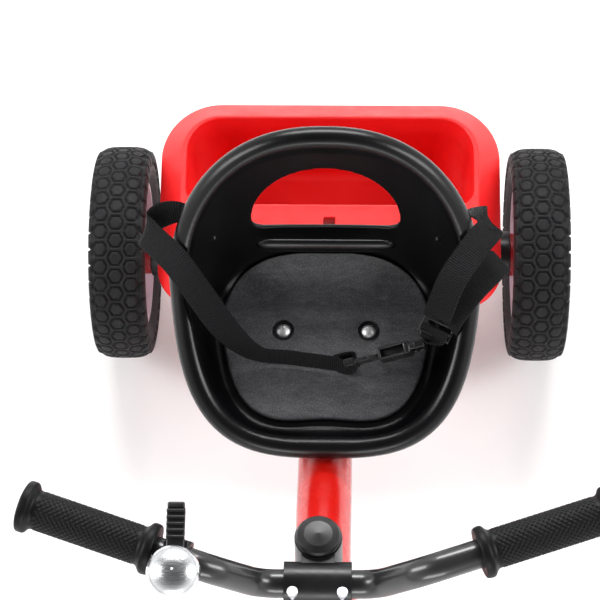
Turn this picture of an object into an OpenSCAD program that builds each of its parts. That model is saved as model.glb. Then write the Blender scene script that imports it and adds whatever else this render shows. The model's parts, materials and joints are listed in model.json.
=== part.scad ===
// Child's pedal tricycle with a bucket seat, lap belt and rear storage bin.
// +X is the rider's left, -Y is forward and +Z is up. The origin is on the floor,
// under the middle of the tricycle.

/* [Wheels] */
// Outer diameter of each rear wheel
rear_wheel_d = 210; // [190:1:215]
// Width of each rear tyre
rear_tyre_w = 52; // [44:1:52]
// Distance between the middles of the rear tyres
track = 406; // [406:1:430]
// Outer diameter of the front wheel
front_wheel_d = 260; // [240:1:262]
// Width of the front tyre
front_tyre_w = 54; // [44:1:54]
// Distance from the rear axle to the front axle
wheelbase = 490; // [480:1:500]

/* [Frame] */
// Outer diameter of the sloping main tube
main_tube_d = 48; // [42:1:48]
// Outer diameter of the tube across the rear
cross_tube_d = 45; // [42:1:45]
// Lean of the steering axis from upright
rake = 15; // [12:1:16]
// Diameter of the rear axle rod
axle_d = 12; // [10:1:12]

/* [Handlebar] */
// Diameter of the handlebar tube
bar_d = 22; // [20:0.2:22.2]
// Height of the grips above the rear axle
grip_h = 455; // [445:1:470]
// Outer diameter of the grip sleeves
grip_d = 30; // [28:1:32]

/* [Seat] */
// Half of the seat rim's width, to the middle of the roll
seat_half_w = 128; // [120:1:128]
// Radius of the rolled rim
rim_roll_r = 10; // [8:0.5:11]
// Distance between the two seat bolts
bolt_spacing = 76; // [70:1:80]

/* [Bin] */
// Width of the bin over its flared skirt
bin_w = 330; // [310:1:330]
// Depth of the tub below the rim
tub_depth = 116; // [100:1:118]

/* [Hidden] */
$fn = 64;

red = [0.85, 0.08, 0.06];
black = [0.08, 0.08, 0.09];
grey = [0.32, 0.32, 0.34];
lilac = [0.74, 0.70, 0.76];
steel = [0.8, 0.8, 0.82];

fit = 0.05; // running clearance on radius
gap = 0.3; // clearance between neighbours that don't fit into each other
eps = 0.5; // overlap of a cutting tool past the face it cuts

rear_r = rear_wheel_d / 2;
front_r = front_wheel_d / 2;
bin_reach = 131; // from the rear axle back to the bin's skirt
axle_y = (wheelbase + front_r - bin_reach) / 2;
axle_z = rear_r;
tube_r = main_tube_d / 2;
cross_r = cross_tube_d / 2;
axle_r = axle_d / 2;
bar_r = bar_d / 2;

// Place: x across, d forward of the rear axle, h above the rear axle
function at(x, d, h) = [x, axle_y - d, axle_z + h];
function unit(v) = v / norm(v);
function mix(a, b, t) = a * (1 - t) + b * t;
function signed_pow(v, e) = sign(v) * pow(abs(v), e);

// ---- helpers ----

module along(a, b, r) {
    v = b - a;
    translate(a)
        rotate([0, acos(v.z / norm(v)), atan2(v.y, v.x)])
            cylinder(h = norm(v), r = r);
}

module disc_x(x0, x1, r) {
    translate([x0, 0, 0]) rotate([0, 90, 0]) cylinder(h = x1 - x0, r = r);
}

module ring_x(x0, x1, r, bore) {
    difference() {
        disc_x(x0, x1, r);
        disc_x(x0 - eps, x1 + eps, bore);
    }
}

module rounded_plate(w, l, t, r) {
    linear_extrude(t) {
        square([w - 2 * r, l], center = true);
        square([w, l - 2 * r], center = true);
        for (sx = [-1, 1], sy = [-1, 1])
            translate([sx * (w / 2 - r), sy * (l / 2 - r)]) circle(r);
    }
}

// A closed skin over rings of points: each ring has the same count
module skin(rings) {
    n = len(rings[0]);
    last = len(rings) - 1;
    points = [for (ring = rings) each ring];
    sides = [for (k = [0:last - 1], i = [0:n - 1])
        let (j = (i + 1) % n)
        each [
            [k * n + i, (k + 1) * n + i, (k + 1) * n + j],
            [k * n + i, (k + 1) * n + j, k * n + j]
        ]];
    caps = [
        [for (i = [0:n - 1]) i],
        [for (i = [n - 1:-1:0]) last * n + i]
    ];
    polyhedron(points, concat(sides, caps), convexity = 8);
}

// Points of a tube's centre line: round bends where its corners are
function bend_points(a, b, c, r) = let (
    u = unit(b - a),
    v = unit(c - b),
    turn = acos(u * v),
    inward = unit(v - u * (u * v)),
    centre = b - u * r * tan(turn / 2) + inward * r,
    steps = 8
) [for (i = [0:steps])
    let (t = turn * i / steps)
    centre - inward * r * cos(t) + u * r * sin(t)];

function bent_path(p, r) = let (last = len(p) - 1) concat(
    [p[0]],
    [for (i = [1:last - 1]) each bend_points(p[i - 1], p[i], p[i + 1], r)],
    [p[last]]
);

// A round bar along a path that never runs forward or back
module bent_bar(path, r, sides) {
    last = len(path) - 1;
    skin([for (k = [0:last])
        let (
            ahead = unit(path[min(k + 1, last)] - path[max(k - 1, 0)]),
            side = unit(cross(ahead, [0, 1, 0])),
            up = cross(side, ahead)
        )
        [for (i = [0:sides - 1])
            let (t = 360 * i / sides)
            path[k] + r * (side * cos(t) - up * sin(t))]
    ]);
}

// Webbing: each station is a centre point and the direction of its width
webbing_w = 25;
webbing_t = 1.6;
module webbing(stations) {
    last = len(stations) - 1;
    skin([for (k = [0:last])
        let (
            p = stations[k][0],
            ahead = stations[min(k + 1, last)][0] - stations[max(k - 1, 0)][0],
            across = unit(stations[k][1]) * webbing_w / 2,
            through = unit(cross(ahead, across)) * webbing_t / 2
        )
        [p - across - through, p + across - through, p + across + through, p - across + through]
    ]);
}

// ---- frame ----

tube_drop = 8; // the main tube's line passes this far under the rear axle
tube_foot = at(0, 0, -tube_drop);
head_joint = 240; // along the steering axis from the front axle
front_axle = [0, axle_y - wheelbase, front_r];
function on_steer(z) = front_axle + [0, z * sin(rake), z * cos(rake)];
tube_head = on_steer(head_joint);
tube_wall = 2.5;
cross_wall = 2;
cross_half = 165;
head_r = 21;
head_wall = 3.5;
head_low = 192;
head_high = 288;

module steer() translate(front_axle) rotate([-rake, 0, 0]) children();

module main_tube() color(red) difference() {
    along(tube_foot, tube_head, tube_r);
    along(tube_foot, tube_head, tube_r - tube_wall);
    translate([0, axle_y, axle_z]) disc_x(-tube_r * 2, tube_r * 2, cross_r);
    steer() translate([0, 0, head_low - tube_r]) cylinder(h = head_high, r = head_r);
}

module rear_cross_tube() color(red)
    translate([0, axle_y, axle_z])
        ring_x(-cross_half, cross_half, cross_r, cross_r - cross_wall);

module head_tube() color(red) steer() translate([0, 0, head_low]) difference() {
    cylinder(h = head_high - head_low, r = head_r);
    translate([0, 0, -eps]) cylinder(h = head_high, r = head_r - head_wall);
}

column_r = 14;
bush_flange = 5;
bush_plug = 24;
module head_bush() difference() {
    union() {
        cylinder(h = bush_flange, r = head_r);
        translate([0, 0, bush_flange]) cylinder(h = bush_plug, r = head_r - head_wall - fit);
    }
    translate([0, 0, -eps]) cylinder(h = bush_flange + bush_plug + 2 * eps, r = column_r + fit);
}

module lower_head_bush() color(black) steer()
    translate([0, 0, head_low - bush_flange]) head_bush();

module upper_head_bush() color(black) steer()
    translate([0, 0, head_high + bush_flange]) rotate([180, 0, 0]) head_bush();

// The bracket straddles the main tube and carries the seat on its top plate
bolt_d = 146; // the seat bolts' distance forward of the rear axle
floor_h = 188; // the seat shell's inner floor above the rear axle
shell_t = 5;
bracket_top = floor_h - shell_t - 0.2;
bracket_t = 3;
bracket_len = 58;
module seat_bracket() color(red) difference() {
    union() {
        translate(at(0, bolt_d, bracket_top - bracket_t))
            rounded_plate(bolt_spacing + 34, bracket_len, bracket_t, 10);
        for (s = [-1, 1])
            translate(at(s * (tube_r + 0.2 + bracket_t / 2), bolt_d, 76))
                translate([-bracket_t / 2, -bracket_len / 2, 0])
                    cube([bracket_t, bracket_len, bracket_top - bracket_t - 76]);
    }
    for (s = [-1, 1])
        translate(at(s * bolt_spacing / 2, bolt_d, bracket_top - 2 * bracket_t))
            cylinder(h = 3 * bracket_t, r = 4.2);
}

deck_h = 86.5; // underside of the bin's deck above the rear axle
bin_screw_x = [-84, -60, 60, 84];
bin_screw_d = 16;
bin_bracket_top = deck_h - 0.2;
module bin_brackets() color(red) difference() {
    for (s = [-1, 1]) {
        translate(at(s * 72 - 20, 1.5, 15)) cube([40, 3, bin_bracket_top - 15]);
        translate(at(s * 72 - 20, 30, bin_bracket_top - 3)) cube([40, 31.5, 3]);
    }
    translate([0, axle_y, axle_z]) disc_x(-cross_half, cross_half, cross_r);
    for (x = bin_screw_x)
        translate(at(x, bin_screw_d, bin_bracket_top - 5)) cylinder(h = 10, r = 2.6);
}

// ---- rear axle and wheels ----

// Child coordinates: +Z runs out along the axle from the middle of the tyre
module at_rear(side)
    translate([side * track / 2, axle_y, axle_z]) rotate([0, side * 90, 0]) children();

axle_half = track / 2 + 24;
module rear_axle() color(steel)
    translate([0, axle_y, axle_z]) disc_x(-axle_half, axle_half, axle_r);

axle_bush_r = 23;
axle_bush_end = track / 2 - 26.4;
module axle_bush(side) color(black) translate([0, axle_y, axle_z])
    mirror([side < 0 ? 1 : 0, 0, 0]) difference() {
        union() {
            disc_x(cross_half, axle_bush_end, axle_bush_r);
            disc_x(cross_half - 20, cross_half, cross_r - cross_wall - fit);
        }
        disc_x(cross_half - 21, axle_bush_end + eps, axle_r + 0.01);
    }

module axle_nuts() color(steel) for (side = [-1, 1]) at_rear(side) difference() {
    union() {
        translate([0, 0, 20.3]) cylinder(h = 1.2, r = 11);
        translate([0, 0, 21.5]) cylinder(h = 4.5, r = 9.5, $fn = 6);
        translate([0, 0, 26]) cylinder(h = 1.5, r1 = 7.5, r2 = 6);
    }
    translate([0, 0, 19]) cylinder(h = 6, r = axle_r + 0.01);
}

// Rounded block section of a foam tyre, in radius and width
tyre_bead = 34; // from the crown in to the seat on the rim
module tyre_section(r, w) {
    steps = 30;
    mid = r - tyre_bead / 2;
    polygon(concat(
        [[r - tyre_bead, -w * 0.4]],
        [for (i = [0:steps])
            let (a = -110 + 220 * i / steps)
            [mid + tyre_bead / 2 * signed_pow(cos(a), 0.55), w / 2 * signed_pow(sin(a), 0.6)]],
        [[r - tyre_bead, w * 0.4]]
    ));
}

module rear_tyre(side) color(black) at_rear(side)
    rotate_extrude($fn = 96) tyre_section(rear_r, rear_tyre_w);

rear_seat_r = rear_r - tyre_bead - fit;
hub_r = 17;
rim_rib_h = 12;
module rear_rim(side) color(lilac) at_rear(side) {
    rotate_extrude($fn = 96) polygon([
        [hub_r + fit, -16], [hub_r + 8, -16], [rear_seat_r - 9, -12], [rear_seat_r - 4, -21],
        [rear_seat_r, -21], [rear_seat_r, 21], [rear_seat_r - 4, 21], [rear_seat_r - 6, -6],
        [hub_r + 8, -8], [hub_r + 7, 12], [hub_r + fit, 12]
    ]);
    for (a = [0:60:300]) rotate(a)
        translate([hub_r + 6.5, -2, -8.5]) cube([rear_seat_r - hub_r - 12, 4, rim_rib_h]);
}

module rear_hub(side) color(red) at_rear(side) difference() {
    rotate_extrude() polygon([
        [0, -25.8], [21, -25.8], [21, -20], [hub_r + 5, -16.2], [hub_r, -16.2],
        [hub_r, 20], [0, 20]
    ]);
    translate([0, 0, -30]) cylinder(h = 60, r = axle_r + fit);
}

module hub_cap(side) color(red) at_rear(side) rotate_extrude() polygon([
    [hub_r + fit, 12.2], [23, 12.2], [23, 22], [19, 27.5], [10, 30], [0, 30.5],
    [0, 28.5], [9, 28], [14, 26], [hub_r + fit, 21]
]);

// ---- seat ----

seat_mid = 128; // the widest place, forward of the rear axle
seat_front = 127; // rim's reach forward of the widest place
seat_rear = 92; // rim's reach back from the widest place
seat_turns = 56; // points round the seat

// Outline as a rounded box that narrows to the front and is an oval at the back
function lobe(a) = sin(a) > 0 ? abs(signed_pow(sin(a), 2 / 3.4)) : abs(signed_pow(sin(a), 2 / 2.35));
function wing(a) = sin(a) > 0 ? signed_pow(cos(a), 2 / 3.4) : signed_pow(cos(a), 2 / 2.35);
function rim_at(a) = sin(a) > 0
    ? at(seat_half_w * wing(a) * (1 - 0.14 * lobe(a)), seat_mid + seat_front * lobe(a),
        250 - 58 * lobe(a) + 5 * pow(lobe(a), 2))
    : at(seat_half_w * wing(a), seat_mid - seat_rear * lobe(a),
        250 + 85 * lobe(a) + 36 * pow(lobe(a), 2));

// Seat floor: flat under the thighs, rising to meet the backrest. It is squarer at the
// back than the rim, and its front edge dips in at the middle.
floor_power = 2 / 2.9;
function rise(d) = 36 * pow(max(0, 116 - d) / 32, 1.5);
function floor_at(a, s) = let (
    x = sin(a) > 0 ? s * 98 * wing(a) * (1 - 0.14 * lobe(a))
        : s * 98 * signed_pow(cos(a), floor_power),
    d = sin(a) > 0 ? 146 + 92 * s * lobe(a) - 6 * s * s * lobe(a) * exp(-pow(x / 38, 2))
        : 146 - 62 * s * abs(signed_pow(sin(a), floor_power))
) at(x, d, floor_h + rise(d));

// Inner wall from the roll, w = 0, to the floor, w = 1
function wall_at(a, w) = let (
    e = sin(a) > 0 ? 1.8 : 1.8 - 0.65 * pow(lobe(a), 2),
    rim = rim_at(a),
    foot = floor_at(a, 1),
    out = unit([rim.x - foot.x, rim.y - foot.y, 0]),
    top = rim - out * (rim_roll_r - 1)
) [mix(top.x, foot.x, w), mix(top.y, foot.y, w), mix(foot.z, top.z, pow(1 - w, e))];

function outward(a) = let (r = rim_at(a), f = floor_at(a, 1)) unit([r.x - f.x, r.y - f.y, 0]);
function roll_at(a, turn) = rim_at(a) + outward(a) * rim_roll_r * cos(turn)
    + [0, 0, rim_roll_r * sin(turn)];
function skirt_at(a, w) = wall_at(a, w) + outward(a) * shell_t * cos(90 * w)
    - [0, 0, shell_t * sin(90 * w)];

function ring(f) = [for (i = [0:seat_turns - 1]) f(360 * (i + 0.5) / seat_turns)];

module seat_body() skin(concat(
    [for (s = [0.3, 0.65, 0.85]) ring(function (a) floor_at(a, s))],
    [for (w = [1, 0.75, 0.5, 0.25]) ring(function (a) wall_at(a, w))],
    [for (t = [165:-45:-60]) ring(function (a) roll_at(a, t))],
    [for (w = [0.25, 0.5, 0.75, 1]) ring(function (a) skirt_at(a, w))],
    [for (s = [0.85, 0.65, 0.3]) ring(function (a) floor_at(a, s) - [0, 0, shell_t])]
));

// The D-shaped handle opening through the backrest
recline = 17;
module handle_opening() translate(at(0, 75, 262)) rotate([90 - recline, 0, 0])
    translate([0, 0, -40]) linear_extrude(80) {
        intersection() {
            translate([0, 12]) scale([1, 1.05]) circle(66);
            translate([-66, 10]) square([132, 80]);
        }
        translate([-56, 0]) square([112, 12]);
        for (s = [-1, 1]) translate([s * 55, 11]) circle(11);
    }

module seat_shell() color(black) difference() {
    seat_body();
    handle_opening();
    for (s = [-1, 1])
        translate(at(s * bolt_spacing / 2, bolt_d, floor_h - 10)) cylinder(h = 20, r = 4.2);
    for (s = [-1, 1]) translate(belt_anchor(s)) rotate([90, 0, 0])
        cylinder(h = 30, r = 2.6, center = true);
}

pad_gap = 1.1;
pad_t = 6;
module seat_pad() color(grey) difference() {
    skin(concat(
        [for (s = [0.3, 0.65, 0.85, 0.93]) ring(function (a) floor_at(a, s) + [0, 0, pad_gap + pad_t])],
        [for (s = [0.95, 0.85, 0.65, 0.3]) ring(function (a) floor_at(a, s) + [0, 0, pad_gap])]
    ));
    for (s = [-1, 1])
        translate(at(s * bolt_spacing / 2, bolt_d, floor_h - 5)) cylinder(h = 20, r = 9.6);
}

module seat_washers() color(black) for (s = [-1, 1])
    translate(at(s * bolt_spacing / 2, bolt_d, floor_h)) difference() {
        cylinder(h = 3, r = 9);
        translate([0, 0, 1.5]) cylinder(h = 3, r = 7.6);
        translate([0, 0, -1]) cylinder(h = 5, r = 4.2);
    }

module seat_bolts() color(steel) for (s = [-1, 1])
    translate(at(s * bolt_spacing / 2, bolt_d, floor_h + 1.5)) {
        rotate_extrude() polygon([
            [0, 0], [6.6, 0], [6.4, 1.6], [5.2, 3.2], [3, 4.3], [0, 4.7]
        ]);
        translate([0, 0, -24]) cylinder(h = 24, r = 4);
    }

module seat_nuts() color(steel) for (s = [-1, 1])
    translate(at(s * bolt_spacing / 2, bolt_d, bracket_top - bracket_t - 6.5)) difference() {
        cylinder(h = 6.5, r = 7.5, $fn = 6);
        translate([0, 0, -1]) cylinder(h = 9, r = 4.01);
    }

// ---- lap belt ----

function belt_anchor(s) = at(s * 98, 78, 266);

// A strap with the hole for its anchor screw
module belted(s, stations) difference() {
    webbing(stations);
    translate(belt_anchor(s)) rotate([90, 0, 0]) cylinder(h = 12, r = 2.7, center = true);
}

module belt_left() color(black) belted(1, [
    [at(86, 71, 264), [0, 0, 1]],
    [at(98, 75, 266), [0, 0, 1]],
    [at(112, 75, 272), [0, -4, 24]],
    [at(124, 68, 284), [3, -12, 21]],
    [at(137, 74, 293), [6, -20, 12]],
    [at(142, 86, 298), [12, -20, 4]],
    [at(130, 103, 300), [17, -15, -2]],
    [at(110, 130, 289), [20, -9, 0]],
    [at(100, 148, 264), [20, -8, 0]],
    [at(97, 154, 252), [20, -8, -2]]
]);

module belt_tail() color(black) webbing([
    [at(152, 107, 272), [14, -17, -4]],
    [at(141, 120, 277), [15, -18, -4]],
    [at(127, 134, 273), [14, -19, -6]],
    [at(113, 148, 256), [13, -19, -8]],
    [at(106, 157, 243), [12, -19, -8]]
]);

module belt_right() color(black) belted(-1, [
    [at(-86, 71, 264), [0, 0, 1]],
    [at(-98, 75, 266), [0, 0, 1]],
    [at(-112, 75, 270), [0, 4, 24]],
    [at(-126, 68, 281), [0, 9, 21]],
    [at(-143, 70, 279), [-1, 15, 19]],
    [at(-155, 80, 278), [5, 18, 14]],
    [at(-153, 90, 283), [12, 19, 8]],
    [at(-129, 115, 287), [16, 18, 5]],
    [at(-107, 140, 267), [22, 13, -1]],
    [at(-86, 161, 236), [22, 6, 5]],
    [at(-62, 174, 214), [14, 3, 16]],
    [at(-30, 177, 210), [0, 5, 22]],
    [at(13, 183, 211), [0, 5, 22]]
]);

module belt_screws() color(steel) for (s = [-1, 1]) translate(belt_anchor(s))
    rotate([90, 0, 0]) {
        translate([0, 0, -6.4]) cylinder(h = 16, r = 2.5);
        translate([0, 0, -8.6]) cylinder(h = 2.4, r = 6);
    }

// The buckle stands on its edge and runs towards the rider's left
buckle_from = at(18, 184, 212);
buckle_to = at(94, 167, 227);
module on_buckle() {
    v = buckle_to - buckle_from;
    translate(buckle_from)
        rotate([0, 0, atan2(v.y, v.x)]) rotate([0, -asin(v.z / norm(v)), 0]) rotate([100, 0, 0])
            children();
}

module buckle_plug() color(black) on_buckle() {
    translate([0, -14, -4]) cube([10, 28, 8]);
    for (s = [-1, 1]) translate([10, s * 10 - 2, -2]) cube([20, 4, 4]);
}

module buckle_socket() color(black) on_buckle() {
    translate([31, -15, -6]) cube([28, 30, 12]);
    translate([59, -13.5, -4]) cube([14, 27, 8]);
}

// The adjuster lies face up where the strap and its tail meet
adjuster_along = unit([-13.5, -25.5, -13]);
adjuster_across = unit([1, 0, 0] - adjuster_along * adjuster_along.x);
adjuster_up = cross(adjuster_across, adjuster_along);
adjuster_centre = at(97, 159, 238);
module on_adjuster() multmatrix([for (i = [0:2])
    [adjuster_along[i], adjuster_across[i], -adjuster_up[i], adjuster_centre[i]]])
        children();

module belt_adjuster() color(black) on_adjuster()
    translate([-8, -15, -3]) cube([20, 30, 5]);

// ---- bin ----

crest_inset = 23; // the skirt flares out by this much
rim_h = 90; // the crest above the rear axle
skirt_h = 65; // the skirt's lower edge above the rear axle
bin_front = 81;
bin_wall = 3;
bin_mid = (bin_front - bin_reach) / 2;
bin_len = bin_front + bin_reach;

// Four posts whose hull is a rounded plate, rounder at the back than at the front
module corner_posts(w, l, r_back, r_front) for (sx = [-1, 1], back = [0, 1])
    let (r = back == 1 ? r_back : r_front)
        translate([sx * (w / 2 - r), (back == 1 ? 1 : -1) * (l / 2 - r), 0])
            cylinder(h = 0.5, r = r);

module bin_slab(inset, h, r_back, r_front) translate(at(0, bin_mid, h))
    corner_posts(bin_w - 2 * inset, bin_len - 2 * inset, r_back, r_front);

module bin_frustum(inset, drop) hull() {
    bin_slab(inset, skirt_h - drop, 58 - inset, 41 - inset);
    bin_slab(inset + 2, skirt_h + 3 - drop, 57 - inset, 40 - inset);
    bin_slab(crest_inset - 3 + inset, rim_h - 2 - drop, 38 - inset, 24 - inset);
    bin_slab(crest_inset + inset, rim_h - 0.5 - drop, 36 - inset, 22 - inset);
}

// The tub: back and front edges at the rim and at the floor
tub_back = -106;
tub_front = -17;
tub_lean = 17; // the front wall leans back to clear the cross tube
module tub(grow, floor_drop) hull() {
    translate(at(0, (tub_back + tub_front) / 2, rim_h))
        corner_posts(bin_w - 2 * crest_inset - 8 + 2 * grow,
            tub_front - tub_back + 2 * grow, 34 + grow, 16 + grow);
    translate(at(0, (tub_back + 8 + tub_front - tub_lean) / 2, rim_h - floor_drop))
        corner_posts(bin_w - 2 * crest_inset - 34 + 2 * grow,
            tub_front - tub_lean - tub_back - 8 + 2 * grow, 28 + grow, 16 + grow);
}

slot_w = 11.5;
slot_l = 13;
module bin() color(red) difference() {
    union() {
        difference() {
            bin_frustum(0, 0);
            bin_frustum(bin_wall, bin_wall + 0.5);
        }
        intersection() {
            tub(bin_wall, tub_depth + bin_wall);
            translate(at(-bin_w / 2, bin_front, rim_h - tub_depth - 10))
                cube([bin_w, bin_len, tub_depth + 10]);
        }
    }
    tub(0, tub_depth);
    translate(at(-slot_w / 2, slot_l - 3.5, deck_h - 5)) cube([slot_w, slot_l, 12]);
    along(tube_foot, tube_head, tube_r + 3);
    for (x = bin_screw_x) translate(at(x, bin_screw_d, deck_h - 5)) cylinder(h = 12, r = 2.6);
}

module bin_screws() color(steel) for (x = bin_screw_x)
    translate(at(x, bin_screw_d, rim_h + 0.05)) {
        cylinder(h = 2.5, r1 = 5, r2 = 3.5);
        translate([0, 0, -14]) cylinder(h = 14, r = 2.5);
    }

// ---- fork and steering ----

leg_x = 43;
leg_r = 10;
leg_low = 23;
leg_top = 122;
dropout_r = 16;
dropout_t = 8;
crown_z = leg_top + leg_x;
axle_bush_bore = 10;
module fork() color(red) steer() difference() {
    union() {
        for (s = [-1, 1]) translate([s * leg_x, 0, 0]) {
            translate([0, 0, leg_low]) cylinder(h = leg_top - leg_low, r = leg_r);
            disc_x(-dropout_t / 2, dropout_t / 2, dropout_r);
            translate([-dropout_t / 2, -8, 0]) cube([dropout_t, 16, leg_low + 4]);
        }
        translate([0, 0, leg_top]) rotate([90, 0, 0])
            rotate_extrude(angle = 180) translate([leg_x, 0]) circle(leg_r);
        translate([0, 0, 140]) cylinder(h = crown_z - 142, r = 7);
    }
    for (s = [-1, 1]) translate([s * leg_x, 0, 0])
        disc_x(-dropout_t, dropout_t, axle_bush_bore + fit);
    translate([0, 0, crown_z]) cylinder(h = 30, r = column_r + 5);
    translate([0, 0, 139]) cylinder(h = 12, r = 2.55);
}

column_top = 392;
module steering_column() color(steel) steer() difference() {
    union() {
        translate([0, 0, crown_z]) cylinder(h = column_top - crown_z, r = column_r);
        translate([0, 0, crown_z]) cylinder(h = head_low - bush_flange - gap - crown_z, r = column_r + 5);
    }
    translate([0, 0, crown_z + 20]) cylinder(h = column_top, r = column_r - 2);
}

module fork_bush(side) color(black) steer() mirror([side < 0 ? 1 : 0, 0, 0]) difference() {
    union() {
        disc_x(leg_x - 4, leg_x + 4, axle_bush_bore);
        disc_x(leg_x - 6, leg_x - 4, axle_bush_bore + 4);
    }
    disc_x(leg_x - 7, leg_x + 5, axle_r + fit);
}

guard_r = front_r + 7;
guard_half = 29;
guard_t = 2.5;
module mudguard() color(red) steer() difference() {
    rotate([0, 90, 0]) rotate([0, 0, 120]) rotate_extrude(angle = 120, $fn = 96) polygon([
        [guard_r - 5, -guard_half], [guard_r - 1, -guard_half + 4], [guard_r - 1, guard_half - 4],
        [guard_r - 5, guard_half], [guard_r - 5 + guard_t, guard_half],
        [guard_r - 1 + guard_t, guard_half - 4], [guard_r - 1 + guard_t, -guard_half + 4],
        [guard_r - 5 + guard_t, -guard_half]
    ]);
    cylinder(h = guard_r + 20, r = 2.55);
}

module mudguard_screw() color(steel) steer() {
    translate([0, 0, guard_r - 4]) cylinder(h = 2.5, r = 5);
    translate([0, 0, guard_r - 1.6]) cylinder(h = 13, r = 2.5);
}

clamp_z = 385; // bar clamp along the steering axis
clamp_y = -33; // bar clamp in front of the steering axis
stem_r = 18.5;
clamp_r = 17;
clamp_half = 26;
stem_low = 345;
stem_high = 398;
module stem() color(black) steer() difference() {
    union() {
        translate([0, 0, stem_low]) cylinder(h = stem_high - stem_low, r = stem_r);
        translate([-13, clamp_y, clamp_z - 15]) cube([26, -clamp_y, 27]);
        translate([0, clamp_y, clamp_z]) disc_x(-clamp_half, clamp_half, clamp_r);
    }
    translate([0, 0, stem_low - eps]) cylinder(h = column_top - stem_low + 1, r = column_r + fit);
    translate([0, clamp_y, clamp_z]) disc_x(-clamp_half - 1, clamp_half + 1, bar_r + fit);
    translate([-clamp_half - 1, clamp_y - clamp_r - 1, clamp_z - 1])
        cube([2 * clamp_half + 2, clamp_r, 2]);
    for (s = [-1, 1]) translate([s * 19, clamp_y - 13.8, clamp_z]) {
        translate([0, 0, -30]) cylinder(h = 60, r = 2.6);
        translate([0, 0, 11]) cylinder(h = 20, r = 4.6);
    }
}

module stem_bolts() color(steel) steer() for (s = [-1, 1])
    translate([s * 19, clamp_y - 13.8, clamp_z]) {
        translate([0, 0, -9]) cylinder(h = 22, r = 2.5);
        translate([0, 0, 11.5]) cylinder(h = 3, r = 4.2);
    }

module stem_cap() color(black) steer() translate([0, 0, stem_high])
    rotate_extrude() polygon([
        [0, 0.05], [17.5, 0.05], [17.5, 3], [16, 5.2], [11, 7], [0, 8]
    ]);

// Handlebar: two mirrored halves of one bent bar
grip_line = unit([92.5, 31, 0]); // direction of the left grip
bar_clamp = on_steer(clamp_z) + [0, clamp_y * cos(rake), -clamp_y * sin(rake)];
bar_elbow = at(82, 422, grip_h);
bar_len = 145; // from the elbow to the end of the bar
function mirrored(p) = [-p.x, p.y, p.z];
bar_points = [bar_elbow + grip_line * bar_len, bar_elbow, bar_clamp + [45, 0, 0]];
bar_corners = concat(bar_points, [for (i = [2:-1:0]) mirrored(bar_points[i])]);
module handlebar() color(steel) bent_bar(bent_path(bar_corners, 28), bar_r, 32);

// Child coordinates: +Z runs outward along the straight end of the bar
module on_bar(side, u) mirror([side < 0 ? 1 : 0, 0, 0])
    translate(bar_elbow + grip_line * u)
        rotate([0, 0, atan2(grip_line.y, grip_line.x)]) rotate([0, 90, 0]) children();

grip_from = 41;
grip_len = 108;
flange_r = 20;
flange_t = 9.5;
module grip(side) color(black) on_bar(side, grip_from) difference() {
    rotate_extrude() polygon([
        [0, 0], [flange_r - 2, 0], [flange_r, 2], [flange_r, flange_t - 3], [grip_d / 2 + 1, flange_t],
        [grip_d / 2, flange_t + 2], [grip_d / 2, grip_len - flange_t - 2],
        [grip_d / 2 + 1, grip_len - flange_t], [flange_r, grip_len - flange_t + 2],
        [flange_r, grip_len - 2], [flange_r - 3, grip_len], [0, grip_len]
    ]);
    translate([0, 0, -eps]) cylinder(h = bar_len - grip_from + 1, r = bar_r + fit);
}

// Bell on the rider's right, with a thumb lever that points back
bell_u = 24;
bell_pivot = mirrored(bar_elbow + grip_line * bell_u);
bell_ahead = 14; // the dome's centre in front of the bar
module bell_base() color(black) difference() {
    union() {
        on_bar(-1, bell_u - 8) cylinder(h = 16, r = bar_r + 4);
        translate(bell_pivot + [-9, -bell_ahead - 5, 6]) cube([18, bell_ahead + 14, 11.5]);
        translate(bell_pivot + [0, -bell_ahead - 3, 10]) cylinder(h = 15, r = 6);
        translate(bell_pivot + [0, -bell_ahead - 3, 25]) cylinder(h = 3, r = 17);
    }
    on_bar(-1, bell_u - 25) cylinder(h = 50, r = bar_r + fit);
    translate(bell_pivot + [0, 0, 12]) cylinder(h = 10, r = 3 + fit);
}

module bell_dome() color(steel) translate(bell_pivot + [0, -bell_ahead - 3, 28.2])
    rotate_extrude() polygon(concat(
        [[18.4, 0], [20, 0]],
        [for (a = [10:10:90]) [20 * cos(a), 13 * sin(a)]],
        [for (a = [90:-10:10]) [18.4 * cos(a), 11.4 * sin(a)]]
    ));

lever_len = 38;
lever_h = 17.8; // the lever's underside above the bar's centre line
module bell_lever() color(black) translate(bell_pivot + [0, 0, lever_h]) {
    translate([0, 0, -5]) cylinder(h = 8, r = 3);
    cylinder(h = 5, r = 7.5);
    translate([-7, 0, 0]) cube([14, lever_len - 4, 3]);
    for (i = [0:4]) translate([-7, 11 + i * 5, 0]) cube([14, 2.2, 4.8]);
    translate([-6, lever_len - 4.5, 0]) cube([12, 4, 4.4]);
}

// ---- front wheel and pedals ----

module front_tyre() color(black) steer() rotate([0, 90, 0])
    rotate_extrude($fn = 96) tyre_section(front_r, front_tyre_w);

front_seat_r = front_r - tyre_bead - fit;
module front_rim() color(lilac) steer() rotate([0, 90, 0]) {
    rotate_extrude($fn = 96) polygon([
        [axle_r + 0.02, -36.5], [18, -36.5], [20, -30], [20, -8], [front_seat_r - 8, -5],
        [front_seat_r - 5, -22], [front_seat_r, -22], [front_seat_r, 22], [front_seat_r - 5, 22],
        [front_seat_r - 8, 5], [20, 8], [20, 30], [18, 36.5], [axle_r + 0.02, 36.5]
    ]);
    for (a = [0:60:300], s = [-1, 1]) rotate(a)
        translate([19, -2.5, s > 0 ? 5 : -17]) cube([front_seat_r - 26, 5, 12]);
}

crank_in = 55;
crank_t = 8;
crank_len = 65;
module crank_axle() color(steel) steer() disc_x(-crank_in - crank_t - 3, crank_in + crank_t + 3, axle_r);

// The left crank points forward at rest and the right one back
module on_crank(side) steer() mirror([side < 0 ? 1 : 0, 0, 0])
    rotate([side * 90 + rake, 0, 0]) children();

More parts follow.
